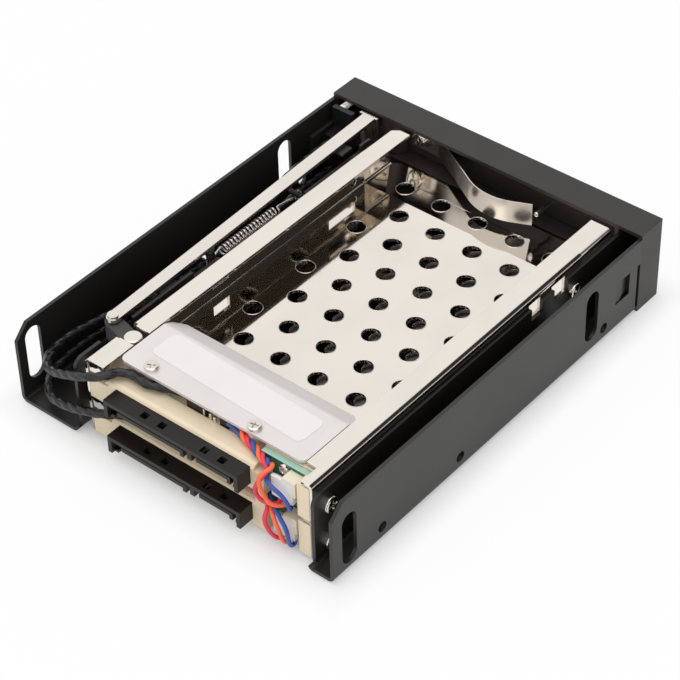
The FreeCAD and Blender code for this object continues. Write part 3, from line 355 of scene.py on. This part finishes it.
def settle(obj, paint, body, slot, *replaced):
    """Gives a finished piece its finish and its body, and hides the nodes that it stands for, if any."""
    obj.data.materials.clear()
    obj.data.materials.append(paints[paint])
    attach(obj, body)
    if replaced:
        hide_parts(*replaced)


def copy_of(master, name, matrix):
    """A copy with a mesh of its own, with its place in that mesh."""
    obj = added(name, master.data.copy())
    obj.data.transform(matrix)
    obj.data.update()
    return obj


def facing(direction, turn=0.0):
    """A rotation that points +Z along the direction."""
    swing = Vector(direction).to_track_quat("Z", "Y").to_matrix().to_4x4()
    return swing @ Matrix.Rotation(math.radians(turn), 4, "Z")


def pick(obj):
    """Makes the object the only one that an operator acts on."""
    bpy.ops.object.select_all(action="DESELECT")
    bpy.context.view_layer.objects.active = obj
    obj.select_set(True)


def cut_out(obj, block):
    """Takes a block out of the object and throws the block away."""
    cut = obj.modifiers.new("cut", "BOOLEAN")
    cut.operation = "DIFFERENCE"
    cut.solver = "EXACT"
    cut.object = block
    pick(obj)
    bpy.ops.object.modifier_apply(modifier="cut")
    bpy.data.objects.remove(block)


def shade_smooth(mesh):
    for polygon in mesh.polygons:
        polygon.use_smooth = True


# Openings in the sheet metal, each between two corner points

inner_wall_openings = [
    ((30.8, 12.0, 21.0), (32.8, 35.0, 26.5)),
    ((30.8, 35.0, 14.6), (32.8, 69.0, 26.5)),
    ((30.8, 69.0, 21.0), (32.8, 79.0, 26.5))]

# Above the tray's foot, first the two on the right
tray_windows = [
    ((-44.4, 32.8, 5.4), (-41.6, 37.5, 9.8)),
    ((-44.4, 22.4, 4.6), (-41.6, 28.0, 9.6)),
    ((27.4, 19.3, 4.6), (29.2, 30.1, 8.4)),
    ((27.4, 70.0, 3.8), (29.2, 76.0, 7.8))]


def windows(level):
    """The windows of the tray of a level."""
    foot = base(level)
    return [((x0, y0, z0 + foot), (x1, y1, z1 + foot)) for (x0, y0, z0), (x1, y1, z1) in tray_windows]


def opened(node, paint, slot, openings):
    """A copy of a piece with box-shaped openings, in its place."""
    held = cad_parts[node]
    plate = copy_of(held, f"{node}_opened", held.matrix_world)
    shape = bmesh.new()
    shape.from_mesh(plate.data)
    bmesh.ops.remove_doubles(shape, verts=shape.verts, dist=0.001 * mm)
    shape.to_mesh(plate.data)
    shape.free()
    for low, high in openings:
        size = spot(*high) - spot(*low)
        middle = (spot(*high) + spot(*low)) / 2
        bpy.ops.object.select_all(action="DESELECT")
        bpy.ops.mesh.primitive_cube_add(size=1.0)
        block = bpy.context.object
        block.data.transform(Matrix.Translation(middle) @ Matrix.Diagonal((*size, 1)))
        cut_out(plate, block)
    bpy.ops.object.shade_smooth_by_angle(angle=plate_crease)
    plate.modifiers.new("weights", "WEIGHTED_NORMAL").keep_sharp = True
    bpy.ops.object.modifier_apply(modifier="weights")
    settle(plate, paint, "chassis", slot, node)


opened("left_side_bracket", "bracket", "bracket_black", inner_wall_openings)
opened("right_side_bracket", "bracket", "bracket_black", windows(1)[:2])
opened("lower_cage_tray", "lower_tray", "tray_steel", windows(0))
opened("upper_cage_tray", "tray", "tray_steel", windows(1))


# Rolled rims of the round holes in the trays' floors

sheet = 0.8
hole_radius = 2.55
hole_pitch = 12.05
row_pitch = 10.37
hole_rows = 9
first_row = 10.2
hole_centre = -6.4
rim_radius = 0.1
rim_sides = 8
rim_steps = 40
rim_path = hole_radius + 0.06


def hole_rim():
    """One rim round the origin, spun from its round section."""
    bpy.ops.object.select_all(action="DESELECT")
    bpy.ops.mesh.primitive_circle_add(vertices=rim_sides, radius=rim_radius * mm,
                                      location=(rim_path * mm, 0, 0), rotation=(math.radians(90), 0, 0))
    rim = bpy.context.object
    bpy.ops.object.transform_apply(location=True, rotation=True, scale=True)
    bpy.ops.object.mode_set(mode="EDIT")
    bpy.ops.mesh.select_all(action="SELECT")
    bpy.ops.mesh.spin(steps=rim_steps, angle=2 * math.pi, center=(0, 0, 0), axis=(0, 0, 1))
    bpy.ops.mesh.select_all(action="SELECT")
    bpy.ops.mesh.remove_doubles(threshold=0.001 * mm)
    bpy.ops.mesh.normals_make_consistent(inside=False)
    bpy.ops.object.mode_set(mode="OBJECT")
    shade_smooth(rim.data)
    return rim


rim = hole_rim()
for side, level in levels:
    rims = []
    for row in range(hole_rows):
        count = 5 - row % 2
        for i in range(count):
            x = hole_centre + (i - (count - 1) / 2) * hole_pitch
            place = spot(x, first_row + row * row_pitch, base(level) + sheet)
            rims.append(copy_of(rim, f"{side}_hole_rims", Matrix.Translation(place)))
    pick(rims[0])
    for other in rims[1:]:
        other.select_set(True)
    bpy.ops.object.join()
    settle(rims[0], "rod", "chassis", "tray_steel")
bpy.data.objects.remove(rim)


# Pan-head screws with a cross recess

head_sides = 48
head_rounding = 0.42
blade_size = (1.45, 0.26, 0.9)
blade_height = 0.85
blade_taper = 0.6
blade_narrow = 0.8


def bevel_rim(obj, height, offset, segments):
    """Rounds the edges that lie above a height."""
    bpy.context.view_layer.objects.active = obj
    bpy.ops.object.mode_set(mode="EDIT")
    shape = bmesh.from_edit_mesh(obj.data)
    for edge in shape.edges:
        edge.select_set(all(v.co.z > height for v in edge.verts))
    bmesh.update_edit_mesh(obj.data)
    bpy.ops.mesh.bevel(offset=offset, segments=segments, profile=0.6)
    bpy.ops.object.mode_set(mode="OBJECT")


def pan_head():
    """A head of radius 1 and height 1 on its seat at Z 0, with a tapered cross recess."""
    bpy.ops.object.select_all(action="DESELECT")
    bpy.ops.mesh.primitive_cylinder_add(vertices=head_sides, radius=1.0, depth=1.0, location=(0, 0, 0.5))
    head = bpy.context.object
    bpy.ops.object.transform_apply(location=True, rotation=True, scale=True)
    bevel_rim(head, height=0.9, offset=head_rounding, segments=6)
    for angle in (0, 90):
        bpy.ops.mesh.primitive_cube_add(size=1.0, location=(0, 0, blade_height))
        blade = bpy.context.object
        blade.scale = blade_size
        blade.rotation_euler = (0, 0, math.radians(angle))
        bpy.ops.object.transform_apply(location=True, rotation=True, scale=True)
        for vertex in blade.data.vertices:
            if vertex.co.z < blade_height:
                vertex.co.x *= blade_taper if angle == 0 else blade_narrow
                vertex.co.y *= blade_taper if angle == 90 else blade_narrow
        cut_out(head, blade)
    bpy.ops.object.shade_smooth_by_angle(angle=head_crease)
    return head


# Each head's radius and height
cover_head = (1.85, 0.9)
board_head = (1.5, 0.9)
side_head = (2.3, 1.3)

# Where the screws sit, with heights above the tray's foot
cover_top = 24.8
right_face = -43.825
left_face = 32.2
side_screw_height = 3.8
board_screw_height = 8.4
leaf_height = 5.9
screw_ends = (("front", 19.8, 20), ("rear", 116.2, 62))
screw_heads = [
    ("cover_screw_left", (13.5, 113.4, cover_top), (0, 0, 1), cover_head, 28, "chassis", "cover_screws"),
    ("cover_screw_right", (-19.575, 113.8, cover_top), (0, 0, 1), cover_head, 12, "chassis", "cover_screws")]
for side, level in levels:
    for end, y, turn in screw_ends:
        z = base(level) + side_screw_height
        screw_heads += [
            (f"right_{side}_{end}_screw", (right_face, y, z), (-1, 0, 0), side_head, turn + 31 * level,
             "chassis", "right_bracket_screws"),
            (f"left_{side}_{end}_screw", (left_face, y, z), (1, 0, 0), side_head, turn - 17 * level,
             "chassis", "left_bracket_screws")]
    screw_heads += [
        (f"{side}_board_screw", (-31.8, 117.3, base(level) + board_screw_height), (0, 1, 0), board_head,
         38 * (level + 1), "chassis", "circuit_board_screws"),
        (f"{side}_leaf_screw_head", (24.3, -4.7, base(level) + leaf_height), (0, 1, 0), side_head,
         24 + 40 * level, f"{side}_door_body", f"{side}_leaf_screw")]

master = pan_head()
for name, place, way, (radius, height), turn, body, node in screw_heads:
    size = Matrix.Diagonal((radius * mm, radius * mm, height * mm, 1))
    matrix = Matrix.Translation(spot(*place)) @ facing(way, turn) @ size
    settle(copy_of(master, name, matrix), "screw", body, "screw_steel", node)
bpy.data.objects.remove(master)


# Bare pins of the drive sockets, and the stop pins beside the tips of the leaf springs

bare_pin_places = ((-4.4, 114.6), (-6.6, 114.9), (-8.2, 115.2))
bare_pin_height = 8.2
bare_pin_radius = 0.4
bare_pin_length = 2.6
stop_pin_x = -20.0
stop_pin_y = -1.2
stop_pin_radius = 0.75
stop_pin_length = 9.0
pin_sides = 32
pin_end = 0.05


def small_pin(name, radius, length, matrix, body):
    """A round pin with a rounded end, centred on its middle."""
    bpy.ops.object.select_all(action="DESELECT")
    bpy.ops.mesh.primitive_cylinder_add(vertices=pin_sides, radius=radius * mm, depth=length * mm)
    pin = bpy.context.object
    pin.name = name
    bevel_rim(pin, height=(length / 2 - pin_end) * mm, offset=radius * 0.55 * mm, segments=4)
    pin.data.transform(matrix)
    bpy.ops.object.shade_smooth_by_angle(angle=head_crease)
    settle(pin, "pin", body, "pin_steel")


for side, level in levels:
    for number, (x, y) in enumerate(bare_pin_places):
        matrix = Matrix.Translation(spot(x, y, base(level) + bare_pin_height))
        small_pin(f"{side}_bare_pin_{number + 1}", bare_pin_radius, bare_pin_length, matrix, "chassis")

for side, level in levels:
    place = spot(stop_pin_x, stop_pin_y, base(level) + leaf_height)
    matrix = Matrix.Translation(place) @ facing((0, 1, 0))
    small_pin(f"{side}_leaf_stop_pin", stop_pin_radius, stop_pin_length, matrix, f"{side}_door_body")


# Return springs

spring_x = 37.0
spring_height = 3.0
spring_radius = 1.3
spring_wire = 0.3
post_front = 32.0
post_rear = 67.0
post_margin = 1.0
coil_ends = (40.6, 62.4)
coil_turns = 17
coil_steps = 16
coil_entry = 1.2
entry_side = 0.3
entry_rise = 0.8 * spring_radius
hook_radius = 1.1
hook_steps = 12
hook_step = 22.5


def hook(post, side, z):
    """The wire's way from the top of a post, round its far side and under it."""
    points = []
    for i in range(hook_steps + 1):
        angle = math.radians(hook_step * i - 90)
        out = side * hook_radius * math.cos(angle)
        points.append((spring_x, post + out, z - hook_radius * math.sin(angle)))
    return points


def spring_line(level):
    """Hook, coil, hook as one wire, from the front post to the rear post."""
    z = base(level) + spring_height
    y0, y1 = coil_ends
    coil = []
    for i in range(coil_turns * coil_steps + 1):
        angle = math.pi / 2 + 2 * math.pi * i / coil_steps
        y = y0 + (y1 - y0) * i / (coil_turns * coil_steps)
        coil.append((spring_x + spring_radius * math.cos(angle), y, z + spring_radius * math.sin(angle)))
    lead_in = (spring_x - entry_side, y0 - coil_entry, z + entry_rise)
    lead_out = (spring_x + entry_side, y1 + coil_entry, z + entry_rise)
    line = [*hook(post_front, -1, z), lead_in, *coil, lead_out, *reversed(hook(post_rear, 1, z))]
    return [spot(*p) for p in line]


def smooth_curve(name, points, radius, sides=4):
    """A NURBS line through the air near its points, with a round section unless the radius is 0."""
    data = bpy.data.curves.new(name, "CURVE")
    data.dimensions = "3D"
    data.resolution_u = 6
    data.bevel_depth = radius
    data.bevel_resolution = sides
    data.use_fill_caps = True
    spline = data.splines.new("NURBS")
    spline.points.add(len(points) - 1)
    for made, point in zip(spline.points, points):
        made.co = (*point, 1)
    spline.order_u = 3
    spline.use_endpoint_u = True
    return added(name, data)


def mesh_of(curve):
    return bpy.data.meshes.new_from_object(curve.evaluated_get(bpy.context.evaluated_depsgraph_get()))


for side, level in levels:
    curve = smooth_curve(f"{side}_spring_line", spring_line(level), spring_wire * mm, 2)
    curve.data.resolution_u = 1
    coil = added(f"{side}_spring_coil", mesh_of(curve))
    bpy.data.objects.remove(curve)
    shade_smooth(coil.data)
    coil.data.materials.clear()
    coil.data.materials.append(paints["spring"])
    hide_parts(f"{side}_return_spring")
    z = base(level) + spring_height
    spot(spring_x, post_front + post_margin, z)
    spot(spring_x, post_rear - post_margin, z)
    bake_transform(coil)


# Wires and leads

wire_radius = 0.55
lead_radius = 1.25
lead_routes = {
    "lower": [
        (1.0, 113.2, 10.6), (4.2, 113.2, 10.6), (8.2, 116.9, 10.6), (14.6, 118.0, 10.8),
        (18.8, 119.4, 10.7), (22.4, 122.4, 10.8), (27.4, 123.6, 9.9), (33.2, 123.4, 7.8),
        (38.8, 122.9, 6.3), (43.6, 121.0, 5.4), (46.9, 116.6, 6.2), (47.4, 109.6, 7.8),
        (46.2, 99.0, 8.4), (45.2, 82.0, 7.0), (46.2, 60.0, 5.6), (45.4, 38.0, 5.0),
        (45.2, 20.0, 7.0), (45.2, 8.6, 7.0)],
    "upper": [
        (1.0, 113.2, 22.4), (4.2, 113.2, 22.4), (8.2, 115.3, 22.5), (12.8, 117.0, 22.6),
        (17.0, 116.2, 22.5), (20.3, 117.6, 22.7), (22.0, 121.8, 23.0), (26.2, 123.7, 21.9),
        (31.6, 123.5, 19.3), (37.2, 123.0, 16.6), (42.2, 121.5, 14.6), (46.1, 117.2, 13.8),
        (46.5, 110.6, 14.5), (45.4, 103.0, 14.2), (44.2, 92.0, 13.2), (44.6, 76.0, 12.2),
        (43.9, 54.0, 12.4), (45.0, 34.0, 13.4), (45.2, 20.0, 16.0), (45.2, 8.6, 16.0)]}

# Each level's wires leave the cover as one twisted bundle and part into loops
bundle_routes = {
    "lower": [
        (-12.0, 114.2, 10.65), (-14.6, 114.3, 10.65), (-17.4, 116.6, 10.8), (-21.0, 118.2, 10.9),
        (-24.8, 118.5, 11.0), (-28.0, 118.7, 11.0)],
    "upper": [
        (-12.0, 114.2, 22.3), (-14.6, 114.3, 22.3), (-17.2, 115.5, 22.2), (-19.6, 116.3, 22.1),
        (-22.0, 116.8, 22.1), (-24.2, 117.7, 22.0), (-26.2, 118.5, 22.0), (-28.0, 119.1, 22.0)]}
loop_routes = {
    "lower": {
        "red": [
            (-29.6, 121.4, 10.9), (-29.8, 122.8, 9.6), (-29.6, 123.1, 7.8), (-30.2, 122.9, 5.4),
            (-31.3, 122.2, 3.0), (-32.1, 120.8, 1.3), (-32.2, 119.3, 1.1), (-32.2, 119.3, 3.1)],
        "orange": [
            (-30.4, 121.4, 11.0), (-32.2, 122.7, 10.2), (-33.4, 123.1, 8.6), (-34.2, 122.9, 6.2),
            (-34.3, 122.2, 3.4), (-34.1, 120.9, 1.3), (-34.0, 119.3, 1.1), (-34.0, 119.3, 3.1)],
        "blue": [
            (-31.6, 121.3, 11.4), (-34.4, 122.6, 10.6), (-36.2, 123.0, 9.2), (-36.6, 122.8, 6.6),
            (-36.2, 122.1, 3.4), (-35.9, 120.9, 1.3), (-35.8, 119.3, 1.1), (-35.8, 119.3, 3.1)]},
    "upper": {
        "red": [
            (-29.1, 120.4, 21.2), (-28.8, 122.0, 20.5), (-28.0, 122.9, 18.8), (-27.2, 123.1, 16.6),
            (-27.7, 123.1, 14.7), (-29.1, 122.6, 13.1), (-31.3, 121.2, 12.5), (-32.2, 119.6, 12.9),
            (-32.2, 119.3, 14.9)],
        "orange": [
            (-29.4, 118.7, 22.5), (-30.0, 120.1, 22.5), (-29.0, 121.8, 21.9), (-28.3, 122.8, 20.4),
            (-28.7, 123.1, 18.2), (-29.9, 123.1, 16.2), (-30.9, 122.9, 14.4), (-32.3, 121.9, 13.2),
            (-33.6, 120.3, 12.9), (-34.0, 119.3, 13.3), (-34.0, 119.3, 14.9)],
        "blue": [
            (-28.6, 119.8, 20.3), (-29.6, 121.8, 19.7), (-32.4, 122.4, 19.3), (-34.8, 122.3, 18.4),
            (-36.3, 122.2, 16.8), (-36.6, 121.8, 14.8), (-35.9, 120.6, 13.2), (-35.0, 119.3, 13.4),
            (-35.0, 119.3, 14.9)]}}
bundle_step = 0.7
lead_step = 0.25
twist_radius = 0.64
twist_pitch = 7.2
twist_top = 5.1
twist_start = 4.5
twist_order = {"orange": 0.0, "red": 120.0, "blue": 240.0}


def even_points(line, step):
    """The same line with its points one step apart."""
    out = [line[0]]
    left = step
    for a, b in zip(line, line[1:]):
        run = (b - a).length
        while left <= run:
            out.append(a.lerp(b, left / run))
            left += step
        left -= run
    if (out[-1] - line[-1]).length > step * 0.3:
        out.append(line[-1])
    return out


def guide_line(name, route, step):
    """Even points along the smooth curve of a route."""
    guide = smooth_curve(name, [spot(*p) for p in route], 0)
    line = even_points([v.co.copy() for v in mesh_of(guide).vertices], step * mm)
    bpy.data.objects.remove(guide)
    return line


def strand(line, tint):
    """One wire of the bundle, wound round the bundle's own line."""
    wound = []
    run = 0.0
    for i, centre in enumerate(line):
        before = line[max(i - 1, 0)]
        way = (line[min(i + 1, len(line) - 1)] - before).normalized()
        up = (Vector((0, 0, 1)) - way * way.z).normalized()
        across = up.cross(way)
        run += (centre - before).length / mm
        turned = (max(run, twist_start) - twist_top) / twist_pitch
        angle = math.radians(90 - twist_order[tint]) + 2 * math.pi * turned
        wound.append(centre + (across * math.cos(angle) + up * math.sin(angle)) * twist_radius * mm)
    return wound


for side, loops in loop_routes.items():
    bundle = guide_line(f"{side}_bundle_guide", bundle_routes[side], bundle_step)
    for tint, route in loops.items():
        points = strand(bundle, tint) + [spot(*p) for p in route]
        wire = smooth_curve(f"{side}_{tint}_insulation", points, wire_radius * mm)
        settle(wire, tint, "chassis", f"wire_{tint}", f"{side}_{tint}_wire")


strand_count = 3
strand_pitch = 11.0
strand_swell = 0.18
sleeve_core = 0.78
crease_depth = 0.03
ripple_depth = 0.02
lead_sides = 30


def sleeve_radius(run, angle):
    """The sleeve's radius at a length along it, in millimetres, and an angle round it."""
    crease = crease_depth * math.sin(run * 0.9) * math.sin(run * 0.37)
    ripple = ripple_depth * math.sin(run * 2.3)
    wave = abs(math.cos(strand_count / 2 * (angle - 2 * math.pi * run / strand_pitch)))
    return lead_radius * mm * (1 + crease + ripple) * (sleeve_core + strand_swell * wave)


def twisted_tube(name, line):
    """A sleeve drawn tight over a few twisted strands, with slow lumps where it is creased."""
    rings = []
    way = (line[1] - line[0]).normalized()
    across = way.cross(Vector((0, 0, 1))).normalized()
    shape = bmesh.new()
    run = 0.0
    for i, centre in enumerate(line):
        before = line[max(i - 1, 0)]
        way = (line[min(i + 1, len(line) - 1)] - before).normalized()
        across = (across - way * across.dot(way)).normalized()
        up = way.cross(across)
        run += (centre - before).length / mm
        ring = []
        for k in range(lead_sides):
            angle = 2 * math.pi * k / lead_sides
            out = across * math.cos(angle) + up * math.sin(angle)
            ring.append(shape.verts.new(centre + out * sleeve_radius(run, angle)))
        rings.append(ring)
    for a, b in zip(rings, rings[1:]):
        for k in range(lead_sides):
            n = (k + 1) % lead_sides
            shape.faces.new((a[k], a[n], b[n], b[k]))
    shape.faces.new(list(reversed(rings[0])))
    shape.faces.new(rings[-1])
    mesh = bpy.data.meshes.new(name)
    shape.to_mesh(mesh)
    shape.free()
    shade_smooth(mesh)
    return added(name, mesh)


for side, route in lead_routes.items():
    line = guide_line(f"{side}_lead_guide", route, lead_step)
    lead = twisted_tube(f"{side}_lead_sleeve", line)
    settle(lead, "lead", "chassis", "lead_black", f"{side}_black_lead")


# Studio

white = (1, 1, 1, 1)
floor_grey = (0.9, 0.9, 0.9, 1)
floor_glow = 0.9
floor_size = 6
floor_height = -0.0002
shadow_reach = (0.056, 0.072)
shadow_fade = (0.8, 1.05)


def floor_paint():
    """A white floor that keeps a faint shadow near the cage."""
    paint = new_paint("studio_floor")
    point = paint.place((1 / shadow_reach[0], 1 / shadow_reach[1], 0))
    ring = paint.node("ShaderNodeVectorMath", {"operation": "ABSOLUTE"}, {0: point})
    sides = {0: paint.part(ring, "X"), 1: paint.part(ring, "Y")}
    farther = paint.node("ShaderNodeMath", {"operation": "MAXIMUM"}, sides)
    share = paint.in_view() * paint.span(farther, *shadow_fade) * floor_glow
    matt = paint.node("ShaderNodeBsdfDiffuse", {}, {"Color": floor_grey})
    glow = paint.node("ShaderNodeEmission", {}, {"Color": white, "Strength": 1.0})
    shader = paint.node("ShaderNodeMixShader", {}, {0: share, 1: matt, 2: glow})
    paint.node("ShaderNodeOutputMaterial", {}, {"Surface": shader})
    return paint.owner


bpy.ops.object.select_all(action="DESELECT")
bpy.ops.mesh.primitive_plane_add(size=floor_size, location=(0, 0, floor_height))
floor = bpy.context.object
floor.name = "studio_floor"
floor.data.materials.append(floor_paint())

# The dark side of the room, which the walls of the trays mirror
dark_way = Vector((-0.58, -0.54, 0.61)).normalized()
dusk_edge = (0.78, 0.92)
dusk_tint = (1, 0.95, 0.9, 1)
dusk_strength = 0.03
sky_strength = 1.0
lit_strength = 0.85


def room_light():
    """A white room that lights the cage evenly, with one dark side for what mirrors it."""
    room = Paint(bpy.data.worlds.new("studio"))
    lit = room.node("ShaderNodeBackground", {}, {"Color": white, "Strength": lit_strength})
    sky = room.node("ShaderNodeBackground", {}, {"Color": white, "Strength": sky_strength})
    dusk = room.node("ShaderNodeBackground", {}, {"Color": dusk_tint, "Strength": dusk_strength})
    bright = room.node("ShaderNodeMixShader", {}, {0: room.in_view(), 1: lit, 2: sky})
    direction = room.node("ShaderNodeTexCoord", output="Generated")
    dot = {"operation": "DOT_PRODUCT"}
    toward = room.node("ShaderNodeVectorMath", dot, {0: direction, 1: dark_way}, "Value")
    share = room.span(toward, *dusk_edge, "SMOOTHSTEP") * room.ray("Glossy")
    dim = room.node("ShaderNodeMixShader", {}, {0: share, 1: bright, 2: dusk})
    room.node("ShaderNodeOutputWorld", {}, {"Surface": dim})
    return room.owner


scene.world = room_light()


def softbox(name, place, size, power):
    """A square lamp that faces the cage."""
    data = bpy.data.lights.new(name, "AREA")
    data.size = size
    data.energy = power
    aim(added(name, data), Vector(place), Vector((0, 0, 0)))


softbox("top_softbox", (0.1, 0.1, 0.8), size=0.7, power=1.6)
softbox("rear_softbox", (-0.7, 0.7, 0.5), size=0.5, power=0.8)
